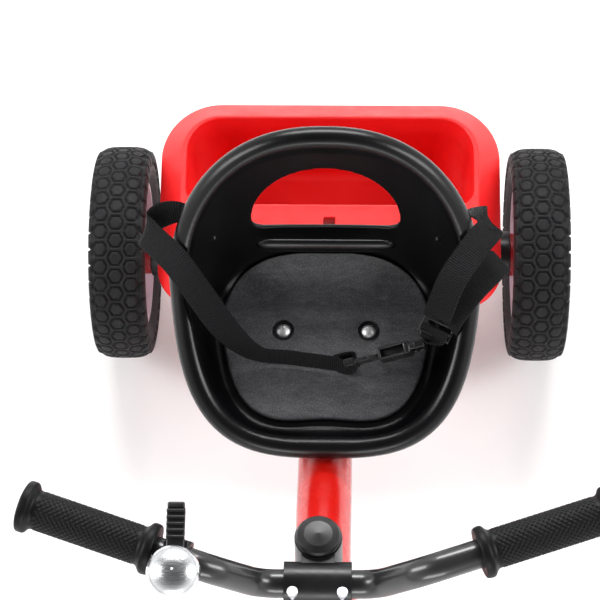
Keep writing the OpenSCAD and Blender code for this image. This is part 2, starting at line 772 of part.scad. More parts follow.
module crank(side) color(steel) on_crank(side) difference() {
    union() {
        disc_x(crank_in, crank_in + crank_t, 12);
        translate([0, 0, crank_len]) disc_x(crank_in, crank_in + crank_t, 10);
        translate([crank_in, -7, 0]) cube([crank_t, 14, crank_len]);
    }
    disc_x(crank_in - 1, crank_in + crank_t + 1, axle_r + 0.02);
    translate([0, 0, crank_len]) disc_x(crank_in - 1, crank_in + crank_t + 1, 5.02);
}

pin_r = 5;
pedal_in = crank_in + crank_t + 3;
pedal_w = 78;
module pedal_pin(side) color(steel) on_crank(side) translate([0, 0, crank_len]) {
    disc_x(crank_in, pedal_in + pedal_w + 0.5, pin_r);
    disc_x(pedal_in + pedal_w + 0.5, pedal_in + pedal_w + 4, pin_r + 3);
}

function pedal_at(side) = on_steer(0) + [0, -side * crank_len, 0];
pedal_l = 60;
pedal_t = 22;
module pedal(side) color(black) translate(pedal_at(side)) mirror([side < 0 ? 1 : 0, 0, 0])
    difference() {
        union() {
            disc_x(pedal_in, pedal_in + pedal_w, pin_r + 5);
            for (y = [-pedal_l / 2, pedal_l / 2 - 8])
                translate([pedal_in, y, -pedal_t / 2]) cube([pedal_w, 8, pedal_t]);
            for (x = [0, pedal_w / 2 - 4, pedal_w - 8])
                translate([pedal_in + x, -pedal_l / 2, -pedal_t / 2]) cube([8, pedal_l, pedal_t]);
        }
        disc_x(pedal_in - 1, pedal_in + pedal_w + 1, pin_r + fit);
        for (y = [-1, 1]) translate([pedal_in + 19, y * (pedal_l / 2) - 1.5, -6.5])
            cube([40, 3, 13]);
    }

module pedal_reflectors(side) color([1, 0.55, 0.05]) translate(pedal_at(side))
    mirror([side < 0 ? 1 : 0, 0, 0])
        for (y = [-1, 1]) translate([pedal_in + 19.1, y * (pedal_l / 2) - (y > 0 ? 1.4 : 0.5), -6.4])
            cube([39.8, 1.9, 12.8]);

main_tube();
rear_cross_tube();
head_tube();
seat_bracket();
bin_brackets();
upper_head_bush();
lower_head_bush();
rear_axle();
axle_bush(1);  // axle_bush_left
axle_bush(-1);  // axle_bush_right
axle_nuts();
seat_shell();
seat_pad();
seat_washers();
seat_bolts();
seat_nuts();
belt_left();
belt_right();
belt_tail();
belt_adjuster();
buckle_plug();
buckle_socket();
belt_screws();
bin();
bin_screws();
fork();
steering_column();
fork_bush(1);  // fork_bush_left
fork_bush(-1);  // fork_bush_right
mudguard();
mudguard_screw();
stem();
stem_cap();
stem_bolts();
handlebar();
grip(1);  // grip_left
grip(-1);  // grip_right
bell_base();
bell_dome();
bell_lever();
front_tyre();
front_rim();
crank_axle();
crank(1);  // crank_left
crank(-1);  // crank_right
pedal_pin(1);  // pedal_pin_left
pedal_pin(-1);  // pedal_pin_right
pedal(1);  // pedal_left
pedal(-1);  // pedal_right
pedal_reflectors(1);  // pedal_reflectors_left
pedal_reflectors(-1);  // pedal_reflectors_right
rear_tyre(1);  // rear_tyre_left
rear_tyre(-1);  // rear_tyre_right
rear_rim(1);  // rear_rim_left
rear_rim(-1);  // rear_rim_right
rear_hub(1);  // rear_hub_left
rear_hub(-1);  // rear_hub_right
hub_cap(1);  // hub_cap_left
hub_cap(-1);  // hub_cap_right
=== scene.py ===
# The looks of a child's pedal tricycle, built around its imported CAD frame.
# Lengths are in millimetres until mesh() turns them into metres.
import json
import math

import bpy
import bmesh
import numpy as np
from mathutils import Matrix, Vector


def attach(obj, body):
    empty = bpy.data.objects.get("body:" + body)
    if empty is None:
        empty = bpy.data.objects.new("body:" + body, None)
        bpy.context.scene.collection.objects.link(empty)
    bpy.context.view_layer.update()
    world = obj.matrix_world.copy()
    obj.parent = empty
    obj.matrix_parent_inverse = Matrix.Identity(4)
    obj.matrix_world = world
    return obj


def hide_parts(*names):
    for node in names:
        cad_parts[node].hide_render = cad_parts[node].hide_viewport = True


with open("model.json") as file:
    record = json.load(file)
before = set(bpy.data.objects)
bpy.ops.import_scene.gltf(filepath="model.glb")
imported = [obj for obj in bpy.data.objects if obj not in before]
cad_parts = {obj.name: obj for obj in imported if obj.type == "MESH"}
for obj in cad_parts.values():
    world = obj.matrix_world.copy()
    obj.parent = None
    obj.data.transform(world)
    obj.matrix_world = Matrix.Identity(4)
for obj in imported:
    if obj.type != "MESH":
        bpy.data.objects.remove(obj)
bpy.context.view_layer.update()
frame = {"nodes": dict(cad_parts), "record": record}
NODES = frame["nodes"]
MM = 0.001
AXLE_Y = 244.5  # rear axle, in the part's frame
AXLE_Z = 105.0
UP = (0, 0, 1)
scene = bpy.context.scene


def at(x, d, h):
    """x across, d forward of the rear axle, h above it."""
    return np.array([x, AXLE_Y - d, AXLE_Z + h], float)


def unit(v):
    v = np.asarray(v, float)
    return v / np.linalg.norm(v)


def spow(v, e):
    """v to the power e, with v's sign."""
    return np.sign(v) * np.abs(v) ** e


def mix(a, b, t):
    return a * (1 - t) + b * t


def smooth(x):
    """0 to 1 with soft ends, clipped outside."""
    x = np.clip(x, 0, 1)
    return x * x * (3 - 2 * x)


# ---------------------------------------------------------------- meshes

def mesh(name, verts, faces, mat, flat=False):
    """A mesh object from points in millimetres, with its faces turned outward."""
    me = bpy.data.meshes.new(name)
    me.from_pydata((np.asarray(verts, float) * MM).tolist(), [], faces)
    me.validate()
    ob = bpy.data.objects.new(name, me)
    scene.collection.objects.link(ob)
    bm = bmesh.new()
    bm.from_mesh(me)
    bmesh.ops.recalc_face_normals(bm, faces=bm.faces)
    bm.to_mesh(me)
    bm.free()
    if not flat:
        me.shade_smooth()
    if mat:
        me.materials.append(mat)
    return ob


def ring_faces(rows, n, wrap_rows=False):
    """Quads over rows of n points each, closed round every row."""
    faces = []
    for k in range(rows if wrap_rows else rows - 1):
        a, b = k * n, ((k + 1) % rows) * n
        for i in range(n):
            j = (i + 1) % n
            faces.append((a + i, a + j, b + j, b + i))
    return faces


def loft(name, rings, mat):
    """A closed skin over rings of points, capped at both ends."""
    rings = np.asarray(rings, float)
    rows, n = rings.shape[:2]
    faces = ring_faces(rows, n)
    faces.append(tuple(range(n - 1, -1, -1)))
    faces.append(tuple((rows - 1) * n + i for i in range(n)))
    return mesh(name, rings.reshape(-1, 3), faces, mat)


def axes_from(direction):
    """Three unit axes, the last along direction."""
    w = unit(direction)
    hint = (0, 1, 0) if abs(w[2]) > 0.95 else (0, 0, 1)
    u = unit(np.cross(hint, w))
    return u, np.cross(w, u), w


def lathe_points(profile, origin, direction, n, wobble):
    """Rings of a turned form: profile is (radius, distance along the axis)."""
    u, v, w = axes_from(direction)
    t = np.arange(n) * 2 * math.pi / n
    rings = []
    for r, z in profile:
        rr = np.full(n, float(r)) if wobble is None else wobble(r, z, t)
        rings.append(np.asarray(origin) + np.outer(np.cos(t) * rr, u)
                     + np.outer(np.sin(t) * rr, v) + z * w)
    return rings


def lathe(name, profile, origin, direction, mat, n, wobble=None):
    return loft(name, lathe_points(profile, origin, direction, n, wobble), mat)


def rounded_profile(points, radius):
    """A profile with its corners rounded."""
    steps = 4
    p = [np.array(q, float) for q in points]
    out = [p[0]]
    for a, b, c in zip(p, p[1:], p[2:]):
        r = min(radius, 0.45 * np.linalg.norm(a - b), 0.45 * np.linalg.norm(c - b))
        s, e = b + unit(a - b) * r, b + unit(c - b) * r
        for i in range(steps + 1):
            t = i / steps
            out.append(mix(mix(s, b, t), mix(b, e, t), t))
    out.append(p[-1])
    return out


def sweep_frames(path):
    """Two unit directions across the path at each of its points."""
    path = np.asarray(path, float)
    ahead = np.gradient(path, axis=0)
    ahead /= np.linalg.norm(ahead, axis=1)[:, None]
    side = np.cross(ahead, [0, 1, 0])
    side /= np.linalg.norm(side, axis=1)[:, None]
    return side, np.cross(side, ahead)


def tube(name, path, radius, mat):
    """A round bar along a path of points."""
    n = 48
    path = np.asarray(path, float)
    side, up = sweep_frames(path)
    t = np.arange(n) * 2 * math.pi / n
    rings = [c + radius * (np.outer(np.cos(t), s) + np.outer(np.sin(t), u))
             for c, s, u in zip(path, side, up)]
    return loft(name, rings, mat)


def box_into(bm, lo, hi, radius, matrix, taper):
    """A box with rounded edges, added to bm. taper scales its +x end."""
    made = bmesh.ops.create_cube(bm, size=1)["verts"]
    lo, hi = Vector(lo), Vector(hi)
    for v in made:
        q = Vector([mix(lo[i], hi[i], v.co[i] + 0.5) for i in range(3)])
        if v.co.x > 0:
            mid = (lo + hi) / 2
            q.y = mid.y + (q.y - mid.y) * taper
            q.z = mid.z + (q.z - mid.z) * taper
        v.co = q
    edges = list({e for v in made for e in v.link_edges})
    done = bmesh.ops.bevel(bm, geom=edges, offset=radius, segments=3, profile=0.5,
                           affect="EDGES", clamp_overlap=True)
    verts = {v for f in done["faces"] for v in f.verts} | {v for v in made if v.is_valid}
    bmesh.ops.transform(bm, matrix=matrix, verts=list(verts))


def boxes(name, items, mat, matrix):
    """One piece from rounded boxes: (low corner, high corner, edge radius[, taper])."""
    bm = bmesh.new()
    for item in items:
        taper = item[3] if len(item) > 3 else 1.0
        box_into(bm, item[0], item[1], item[2], matrix, taper)
    bmesh.ops.scale(bm, vec=(MM, MM, MM), verts=bm.verts)
    bmesh.ops.recalc_face_normals(bm, faces=bm.faces)
    me = bpy.data.meshes.new(name)
    bm.to_mesh(me)
    bm.free()
    me.shade_smooth()
    me.materials.append(mat)
    ob = bpy.data.objects.new(name, me)
    scene.collection.objects.link(ob)
    return ob


def apply_modifiers(ob):
    dg = bpy.context.evaluated_depsgraph_get()
    me = bpy.data.meshes.new_from_object(ob.evaluated_get(dg))
    ob.modifiers.clear()
    ob.data = me
    me.shade_smooth()


def combine(ob, tool, operation):
    """Cut tool from ob or join it on, and remove tool."""
    m = ob.modifiers.new("combine", "BOOLEAN")
    m.operation = operation
    m.object = tool
    m.solver = "EXACT"
    apply_modifiers(ob)
    bpy.data.objects.remove(tool)


def cut(ob, tool):
    combine(ob, tool, "DIFFERENCE")


def crisp(ob):
    """Sharp cut edges, and flat faces that stay flat beside rounded ones."""
    ob.data.set_sharp_from_angle(angle=math.radians(35))
    m = ob.modifiers.new("normals", "WEIGHTED_NORMAL")
    m.keep_sharp = True
    m.weight = 80


def remesh(ob, voxel, smoothing):
    """An even skin of voxel-sized quads, smoothed over that many steps."""
    m = ob.modifiers.new("remesh", "REMESH")
    m.mode = "VOXEL"
    m.voxel_size = voxel * MM
    s = ob.modifiers.new("smooth", "SMOOTH")
    s.iterations = smoothing
    s.factor = 0.5
    apply_modifiers(ob)


def coords(ob):
    co = np.empty(len(ob.data.vertices) * 3)
    ob.data.vertices.foreach_get("co", co)
    return co.reshape(-1, 3) / MM


def normals(ob):
    no = np.empty(len(ob.data.vertices) * 3)
    ob.data.vertices.foreach_get("normal", no)
    return no.reshape(-1, 3)


def set_coords(ob, co):
    ob.data.vertices.foreach_set("co", (co * MM).ravel())
    ob.data.update()


def attribute(ob, name, values):
    """A number per vertex that a material can read."""
    a = ob.data.attributes.new(name, "FLOAT", "POINT")
    a.data.foreach_set("value", np.asarray(values, np.float32))


def piece(ob, body, slot, *replaced):
    """ob rides on a body and stands for the nodes named, which are hidden. slot is not used."""
    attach(ob, body)
    if replaced:
        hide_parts(*replaced)
    return ob


# ------------------------------------------------------------- materials

class Nodes:
    """Short names for one material's nodes."""

    def __init__(self, name):
        self.mat = bpy.data.materials.new(name)
        self.mat.use_nodes = True
        self.tree = self.mat.node_tree
        self.bsdf = self.tree.nodes["Principled BSDF"]

    def new(self, kind, out=0, **sockets):
        node = self.tree.nodes.new("ShaderNode" + kind)
        for key, value in sockets.items():
            if hasattr(node, key) and key not in node.inputs:
                setattr(node, key, value)
                continue
            target = node.inputs[key.replace("_", " ")]
            if isinstance(value, bpy.types.NodeSocket):
                self.tree.links.new(value, target)
            else:
                target.default_value = value
        return node.outputs[out]

    def link(self, socket, name):
        self.tree.links.new(socket, self.bsdf.inputs[name])

    def place(self, kind="Object"):
        node = self.tree.nodes.new("ShaderNodeTexCoord")
        return node.outputs[kind]

    def noise(self, scale, detail=4.0, rough=0.55, vector=None):
        return self.new("TexNoise", 0, Scale=scale, Detail=detail, Roughness=rough,
                        Vector=vector or self.place())

    def remap(self, value, a, b, c, d):
        node = self.tree.nodes.new("ShaderNodeMapRange")
        self.tree.links.new(value, node.inputs[0])
        for i, v in enumerate((a, b, c, d)):
            node.inputs[i + 1].default_value = v
        return node.outputs[0]

    def math(self, op, a, b=0.0):
        node = self.tree.nodes.new("ShaderNodeMath")
        node.operation = op
        for i, v in enumerate((a, b)):
            if isinstance(v, bpy.types.NodeSocket):
                self.tree.links.new(v, node.inputs[i])
            else:
                node.inputs[i].default_value = v
        return node.outputs[0]

    def blend(self, factor, a, b):
        node = self.tree.nodes.new("ShaderNodeMix")
        node.data_type = "RGBA"
        self.tree.links.new(factor, node.inputs["Factor"])
        for key, v in ((6, a), (7, b)):
            if isinstance(v, bpy.types.NodeSocket):
                self.tree.links.new(v, node.inputs[key])
            else:
                node.inputs[key].default_value = (*v, 1)
        return node.outputs[2]

    def bump(self, height, strength, distance, normal=None):
        node = self.tree.nodes.new("ShaderNodeBump")
        node.inputs["Strength"].default_value = strength
        node.inputs["Distance"].default_value = distance
        self.tree.links.new(height, node.inputs["Height"])
        if normal:
            self.tree.links.new(normal, node.inputs["Normal"])
        return node.outputs[0]

    def soft_edges(self, radius):
        node = self.tree.nodes.new("ShaderNodeBevel")
        node.samples = 6
        node.inputs["Radius"].default_value = radius
        return node.outputs[0]

    def set(self, **values):
        for key, v in values.items():
            name = key.replace("_", " ")
            self.bsdf.inputs[name].default_value = (*v, 1) if isinstance(v, tuple) else v


def plastic(name, dark, light, rough, grain=900.0, depth=0.00006, edges=0.0, spread=0.08,
            specular=0.5):
    """Moulded plastic: slow colour drift, fine moulded grain, scuffs in its roughness."""
    m = Nodes(name)
    m.link(m.blend(m.remap(m.noise(14.0), 0.35, 0.65, 0, 1), dark, light), "Base Color")
    scuff = m.noise(60.0, 5.0, 0.6)
    m.link(m.remap(scuff, 0.3, 0.75, rough - spread, rough + spread), "Roughness")
    base = m.soft_edges(edges) if edges else None
    fine = m.bump(m.noise(grain, 3.0), 0.35, depth, base)
    m.link(m.bump(m.noise(35.0, 2.0), 0.06, 0.0006, fine), "Normal")
    m.set(Specular_IOR_Level=specular)
    return m.mat


def metal(name, colour, rough, brushed):
    """Bare metal with fine streaks, and tiny rounds on its edges."""
    m = Nodes(name)
    m.set(Metallic=1.0)
    stretch = m.tree.nodes.new("ShaderNodeMapping")
    stretch.inputs["Scale"].default_value = (40, 900, 900)
    m.tree.links.new(m.place(), stretch.inputs["Vector"])
    streak = m.noise(1.0, 5.0, 0.6, stretch.outputs[0])
    tint = tuple(0.82 * c for c in colour)
    m.link(m.blend(m.remap(m.noise(45.0, 6.0), 0.35, 0.7, 0, 1), tint, colour), "Base Color")
    m.link(m.remap(streak, 0.3, 0.7, rough * 0.7, rough * 1.3), "Roughness")
    m.link(m.bump(streak, brushed, 0.00004, m.soft_edges(0.0004)), "Normal")
    return m.mat


def paint(name, dark, light, rough=0.24):
    """Powder coat: orange peel, a clear coat and slightly duller patches from wear."""
    m = Nodes(name)
    m.link(m.blend(m.remap(m.noise(9.0), 0.35, 0.65, 0, 1), dark, light), "Base Color")
    m.link(m.remap(m.noise(40.0, 4.0, 0.6), 0.2, 0.8, rough, rough + 0.06), "Roughness")
    peel = m.bump(m.noise(300.0, 2.0), 0.03, 0.0002, m.soft_edges(0.0008))
    m.link(peel, "Normal")
    m.set(Coat_Weight=0.5, Coat_Roughness=0.12)
    return m.mat


def webbing_material(name):
    """Ribbed polypropylene webbing: fine cross ribs in two offset columns a stitch wide, their
    tops painted lighter as a highlight.
    """
    m = Nodes(name)
    split = m.tree.nodes.new("ShaderNodeSeparateXYZ")
    m.tree.links.new(m.place("UV"), split.inputs[0])
    across, along = split.outputs[0], split.outputs[1]
    stitches = m.math("SINE", m.math("MULTIPLY", across, 2 * math.pi * 9))
    column = m.math("MULTIPLY", stitches, 0.55)
    rib = m.math("SINE", m.math("ADD", m.math("MULTIPLY", along, 2 * math.pi / 2.0), column))
    thread = m.math("SINE", m.math("MULTIPLY", across, 2 * math.pi * 36))
    height = m.math("ADD", m.math("MULTIPLY", rib, 0.5), m.math("MULTIPLY", thread, 0.12))
    fuzz = m.noise(700.0, 4.0)
    # painted highlight: the rib tops and raised threads are painted lighter than the hollows
    # between them
    lift = m.remap(m.math("ADD", height, fuzz), 0.3, 1.3, 0, 1)
    m.link(m.blend(lift, (0.0008, 0.0008, 0.001), (0.014, 0.014, 0.0165)), "Base Color")
    m.link(m.remap(fuzz, 0.3, 0.7, 0.55, 0.8), "Roughness")
    m.link(m.bump(height, 0.9, 0.0005, m.bump(fuzz, 0.2, 0.0002)), "Normal")
    m.set(Sheen_Weight=0.02, Sheen_Roughness=0.4, Specular_IOR_Level=0.18)
    return m.mat


def pad_material(name):
    """Grained artificial leather over foam: pebbles, fine creases and pores."""
    m = Nodes(name)
    warp = m.new("TexNoise", 1, Scale=45.0, Detail=3.0, Vector=m.place())
    push = m.tree.nodes.new("ShaderNodeVectorMath")
    push.operation = "MULTIPLY_ADD"
    m.tree.links.new(warp, push.inputs[0])
    push.inputs[1].default_value = (0.006, 0.006, 0.006)
    m.tree.links.new(m.place(), push.inputs[2])
    cells = m.new("TexVoronoi", 0, feature="DISTANCE_TO_EDGE", Scale=430.0,
                  Vector=push.outputs[0])
    pebble = m.remap(cells, 0.0, 0.32, 0, 1)
    squeeze = m.tree.nodes.new("ShaderNodeMapping")
    squeeze.inputs["Scale"].default_value = (90, 240, 160)
    m.tree.links.new(push.outputs[0], squeeze.inputs["Vector"])
    crease = m.noise(1.0, 5.0, 0.6, squeeze.outputs[0])
    tone = m.math("ADD", m.math("MULTIPLY", pebble, 0.5), crease)
    m.link(m.blend(m.remap(tone, 0.45, 1.2, 0, 1), (0.026, 0.026, 0.029),
                   (0.078, 0.078, 0.084)), "Base Color")
    m.link(m.remap(tone, 0.4, 1.2, 0.60, 0.44), "Roughness")
    fine = m.bump(pebble, 0.5, 0.00028)
    m.link(m.bump(crease, 0.55, 0.0009, fine), "Normal")
    return m.mat


def tyre_material(name):
    """Foam tyre: matt black tread, block tops lighter from wear with painted shade darkening
    the grooves, and sidewalls painted lighter and mauve-grey, partly dust and partly painted
    light.
    """
    m = Nodes(name)
    wear_and_groove_shade = m.new("Attribute", 2, attribute_name="wear_and_groove_shade")
    side = m.new("Attribute", 2, attribute_name="side")
    cloud = m.noise(30.0, 7.0, 0.65)
    grit = m.noise(520.0, 4.0, 0.6)
    # painted shade: the grooves and the gaps between shoulder knobs are darker; the block tops
    # are lighter from wear
    base = m.blend(m.remap(m.math("MULTIPLY", wear_and_groove_shade, cloud), 0.15, 0.7, 0, 1),
                   (0.0028, 0.0027, 0.0032), (0.0095, 0.009, 0.0105))
    # sidewalls painted lighter and mauve-grey: partly dust, partly painted light
    sidewall_dust_and_light = m.blend(m.math("MULTIPLY", side, m.remap(cloud, 0.3, 0.7, 0.35, 0.9)),
                    base, (0.022, 0.019, 0.024))
    m.link(sidewall_dust_and_light, "Base Color")
    m.link(m.remap(grit, 0.3, 0.7, 0.5, 0.74), "Roughness")
    m.link(m.bump(grit, 0.4, 0.0002), "Normal")
    m.set(Specular_IOR_Level=0.24)
    return m.mat


def reflector_material(name):
    m = Nodes(name)
    cells = m.new("TexVoronoi", 0, Scale=380.0, Vector=m.place())
    m.link(m.blend(cells, (0.95, 0.23, 0.01), (0.65, 0.08, 0.0)), "Base Color")
    m.link(m.remap(cells, 0, 1, 0.1, 0.3), "Roughness")
    m.link(m.bump(cells, 0.7, 0.0006), "Normal")
    m.set(Coat_Weight=1.0, Coat_Roughness=0.05)
    return m.mat


RED_PAINT = paint("red_powder_coat", (0.50, 0.004, 0.002), (0.60, 0.008, 0.003))
BLACK_PAINT = paint("black_powder_coat", (0.010, 0.010, 0.011), (0.016, 0.016, 0.017), 0.3)
BIN_RED = plastic("bin_plastic", (0.70, 0.006, 0.007), (0.78, 0.010, 0.011), 0.42,
                  grain=1100.0, edges=0.001)
HUB_RED = plastic("hub_plastic", (0.30, 0.006, 0.010), (0.38, 0.010, 0.014), 0.4, edges=0.001)
SEAT_BLACK = plastic("seat_plastic", (0.0012, 0.0012, 0.0016), (0.0026, 0.0026, 0.0032), 0.3,
                     grain=1300.0, depth=0.00005, spread=0.025, specular=0.34)
SATIN_BLACK = plastic("satin_black_plastic", (0.005, 0.005, 0.0055), (0.010, 0.010, 0.011),
                      0.36, edges=0.0006, specular=0.4)
PEDAL_BLACK = plastic("pedal_plastic", (0.012, 0.012, 0.013), (0.022, 0.022, 0.023), 0.55,
                      grain=600.0, depth=0.0001, edges=0.0009)
RIM_LILAC = plastic("rim_plastic", (0.50, 0.43, 0.51), (0.60, 0.53, 0.61), 0.42, edges=0.0008)
GRIP_RUBBER = plastic("grip_rubber", (0.0012, 0.0012, 0.0015), (0.003, 0.003, 0.0035), 0.46,
                      grain=800.0, depth=0.0001, specular=0.18)
ZINC = metal("zinc_plated_steel", (0.62, 0.63, 0.66), 0.34, 0.25)
CHROME = metal("chrome", (0.90, 0.91, 0.93), 0.24, 0.02)
BOLT_STEEL = metal("bright_bolt_steel", (0.93, 0.93, 0.94), 0.46, 0.02)
WEBBING = webbing_material("black_webbing")
PAD = pad_material("grained_pad")
TYRE = tyre_material("foam_tyre")
REFLECTOR = reflector_material("orange_reflector")

FINISH = {
    "red_paint": RED_PAINT, "black_plastic": SATIN_BLACK, "zinc_steel": ZINC,
    "chrome": CHROME, "seat_plastic": SEAT_BLACK, "pad_grey": PAD, "webbing": WEBBING,
    "bin_red": BIN_RED, "hub_red": HUB_RED, "black_paint": BLACK_PAINT,
    "grip_rubber": GRIP_RUBBER, "tyre_foam": TYRE, "rim_plastic": RIM_LILAC,
    "pedal_plastic": PEDAL_BLACK, "reflector": REFLECTOR,
}
for part in frame["record"]["subparts"]:
    node = NODES[part["node"]]
    if not node.material_slots:
        node.data.materials.append(None)
    for place in node.material_slots:
        place.material = FINISH[part["material_slot"]]
for place in NODES["belt_screws"].material_slots:
    place.material = BLACK_PAINT

# ------------------------------------------------------------ camera, light

CAMERA = (34.6, -556.0, 2239.9)
PITCH, YAW, ROLL = (math.radians(a) for a in (19.39, -1.62, -0.37))
LENS, SENSOR = 137.7, 36.0
SKY_FROM, SKY_TO = 0.25, 0.85  # heights of the view direction where the sky darkens
SKY_LOW, SKY_HIGH = 1.0, 0.10  # its brightness at the horizon and overhead
FLOOR_REACH = 9000.0

# Axes of the camera, tipped by its pitch, then its yaw and its roll
n0 = np.array([0, -math.sin(PITCH), math.cos(PITCH)])
right0 = np.array([1.0, 0, 0])
down = np.array([0, -math.cos(PITCH), -math.sin(PITCH)])
right1 = math.cos(YAW) * right0 + math.sin(YAW) * n0
back = math.cos(YAW) * n0 - math.sin(YAW) * right0
right = math.cos(ROLL) * right1 + math.sin(ROLL) * down
down = math.cos(ROLL) * down - math.sin(ROLL) * right1
lens = bpy.data.cameras.new("camera")
lens.lens = LENS
lens.sensor_width = SENSOR
camera = bpy.data.objects.new("camera", lens)
scene.collection.objects.link(camera)
camera.matrix_world = Matrix(
    [[right[i], -down[i], back[i], CAMERA[i] * MM] for i in range(3)] + [[0, 0, 0, 1]])
scene.camera = camera
scene.view_settings.view_transform = "Standard"


def area_light(name, place, aim, width, height, power):
    """A softbox aimed at a point, in metres and watts."""
    data = bpy.data.lights.new(name, "AREA")
    data.shape = "RECTANGLE"
    data.size, data.size_y, data.energy = width, height, power
    ob = bpy.data.objects.new(name, data)
    ob.location = place
    ob.rotation_euler = (Vector(aim) - Vector(place)).to_track_quat("-Z", "Y").to_euler()
    scene.collection.objects.link(ob)


area_light("rear_softbox", (0.0, 1.9, 1.9), (0, 0.05, 0.3), 1.8, 0.7, 62)
area_light("left_softbox", (-2.3, 0.1, 1.9), (0, 0.0, 0.2), 0.9, 1.8, 50)
area_light("right_softbox", (2.3, 0.1, 1.9), (0, 0.0, 0.2), 0.9, 1.8, 50)
area_light("front_softbox", (0.0, -2.6, 1.0), (0, -0.1, 0.3), 1.8, 0.8, 30)
world = bpy.data.worlds.new("studio")
scene.world = world
world.use_nodes = True
sky = world.node_tree.nodes["Background"]
tree = world.node_tree
split = tree.nodes.new("ShaderNodeSeparateXYZ")
tree.links.new(tree.nodes.new("ShaderNodeTexCoord").outputs["Generated"], split.inputs[0])
fall = tree.nodes.new("ShaderNodeMapRange")
tree.links.new(split.outputs[2], fall.inputs[0])
for i, v in enumerate((SKY_FROM, SKY_TO, SKY_LOW, SKY_HIGH)):
    fall.inputs[i + 1].default_value = v
tree.links.new(fall.outputs[0], sky.inputs[1])
sky.inputs[0].default_value = (1, 1, 1, 1)

floor_mat = Nodes("floor_paper")
floor_mat.link(floor_mat.blend(floor_mat.noise(3.0), (0.93, 0.93, 0.93), (0.95, 0.95, 0.95)),
               "Base Color")
floor_mat.set(Roughness=0.8, Specular_IOR_Level=0.1)
signs = ((-1, -1), (1, -1), (1, 1), (-1, 1))
floor = mesh("floor", [(x * FLOOR_REACH, y * FLOOR_REACH, 0) for x, y in signs],
             [(0, 1, 2, 3)], floor_mat.mat, True)

# ------------------------------------------------------------------ tyres

RAKE = math.radians(15)
FRONT_AXLE = np.array([0, AXLE_Y - 490, 130.0])
TYRE_BEAD = 34.0  # how deep the foam ring is
GROOVE_DEPTH, LANE_DEPTH = 1.9, 1.2
KNOB_RISE, KNOB_GAP, SIDE_RISE = 1.3, 1.0, 0.7
CELL_SIZE, KNOB_SIZE = 0.375, 0.43  # half widths, as a share of the cells' pitch
COLUMNS_PER_CELL = 20
TRACK, REAR_R, REAR_W, REAR_CELLS = 203, 105, 52, 38
FRONT_R, FRONT_W, FRONT_CELLS = 130, 54, 47


def tyre(name, centre, radius, width, cells, body, node):
    """A foam ring with a honeycomb tread: ringed cells mid-tread, knobs on the shoulders."""
    pitch = 2 * math.pi * radius / cells
    a = np.radians(np.linspace(-110, 110, 1200))
    r = radius - TYRE_BEAD / 2 + TYRE_BEAD / 2 * spow(np.cos(a), 0.55)
    x = width / 2 * spow(np.sin(a), 0.6)
    bead = radius - TYRE_BEAD
    r = np.concatenate([[bead], r, [bead]])
    x = np.concatenate([[-width * 0.4], x, [width * 0.4]])
    run = np.concatenate([[0], np.cumsum(np.hypot(np.diff(r), np.diff(x)))])
    rows = int(run[-1] / 0.9)
    s = np.linspace(0, run[-1], rows)
    r, x = np.interp(s, run, r), np.interp(s, run, x)
    dr, dx = np.gradient(r), np.gradient(x)
    long = np.hypot(dr, dx)
    nr, nx = dx / long, -dr / long
    v = s - run[-1] / 2
    cols = cells * COLUMNS_PER_CELL
    u = np.arange(cols) * pitch / COLUMNS_PER_CELL
    uu, vv = np.meshgrid(u, v)
    step = pitch * math.sqrt(3) / 2
    row = np.clip(np.round(vv / step), -2, 2)
    du = (uu - (np.abs(row) % 2) * pitch / 2 + pitch / 2) % pitch - pitch / 2
    dv = vv - row * step
    flat = np.maximum(np.abs(du), np.abs(du) / 2 + np.abs(dv) * math.sqrt(3) / 2)
    groove = smooth(1.6 - np.abs(flat - pitch * CELL_SIZE) / 0.9)
    inner = np.abs(row) < 2
    knob = smooth((pitch * KNOB_SIZE - flat) / 1.6 + 0.5)
    lane = smooth(1.5 - np.abs(np.abs(vv) - step * 1.56) / 1.3)
    tread = smooth((step * 2.55 - np.abs(vv)) / 3.0)
    knobs = KNOB_RISE * knob - KNOB_GAP * (1 - knob)
    h = np.where(inner, -GROOVE_DEPTH * groove, knobs) * tread
    h = h - LANE_DEPTH * lane
    side_ring = np.exp(-((np.abs(vv) - (run[-1] / 2 - 13)) / 1.2) ** 2)
    h = h + SIDE_RISE * side_ring
    theta = uu / radius
    rr = r[:, None] + nr[:, None] * h
    xx = x[:, None] + nx[:, None] * h
    verts = np.stack([xx, rr * np.cos(theta), rr * np.sin(theta)], -1).reshape(-1, 3) + centre
    ob = mesh(name, verts, ring_faces(rows, cols, True), TYRE)
    # mask for painted shade in the grooves and wear on the block tops
    attribute(ob, "wear_and_groove_shade", np.where(inner, 1 - groove, knob).ravel())
    # mask for the lighter sidewalls: dust and painted light
    attribute(ob, "side", smooth((np.abs(vv) - step * 1.7) / 8).ravel())
    return piece(ob, body, "tyre_foam", node)


for side, tag in ((1, "left"), (-1, "right")):
    tyre("tyre_rear_" + tag, at(side * TRACK, 0, 0), REAR_R, REAR_W, REAR_CELLS,
         "rear_wheel_" + tag, "rear_tyre_" + tag)
tyre("tyre_front", FRONT_AXLE, FRONT_R, FRONT_W, FRONT_CELLS, "front_wheel", "front_tyre")

# ------------------------------------------------------------------- seat

SEAT_W, SEAT_MID = 128.0, 128.0  # half width, and how far forward its middle is
SEAT_F, SEAT_R = 127.0, 92.0  # reach to the front and to the rear
RIM_H = 250.0
FLOOR_W, FLOOR_H, FLOOR_F, FLOOR_R = 98, 188.0, 92, 62
ROLL_R, SHELL_T = 10.0, 5.0
BOLT_D, BOLT_X = 146.0, 38.0
FLOOR_POWER, FRONT_POWER, REAR_POWER = 2 / 2.9, 2 / 3.4, 2 / 2.35  # squareness of outlines
FRONT_TAPER = 0.14


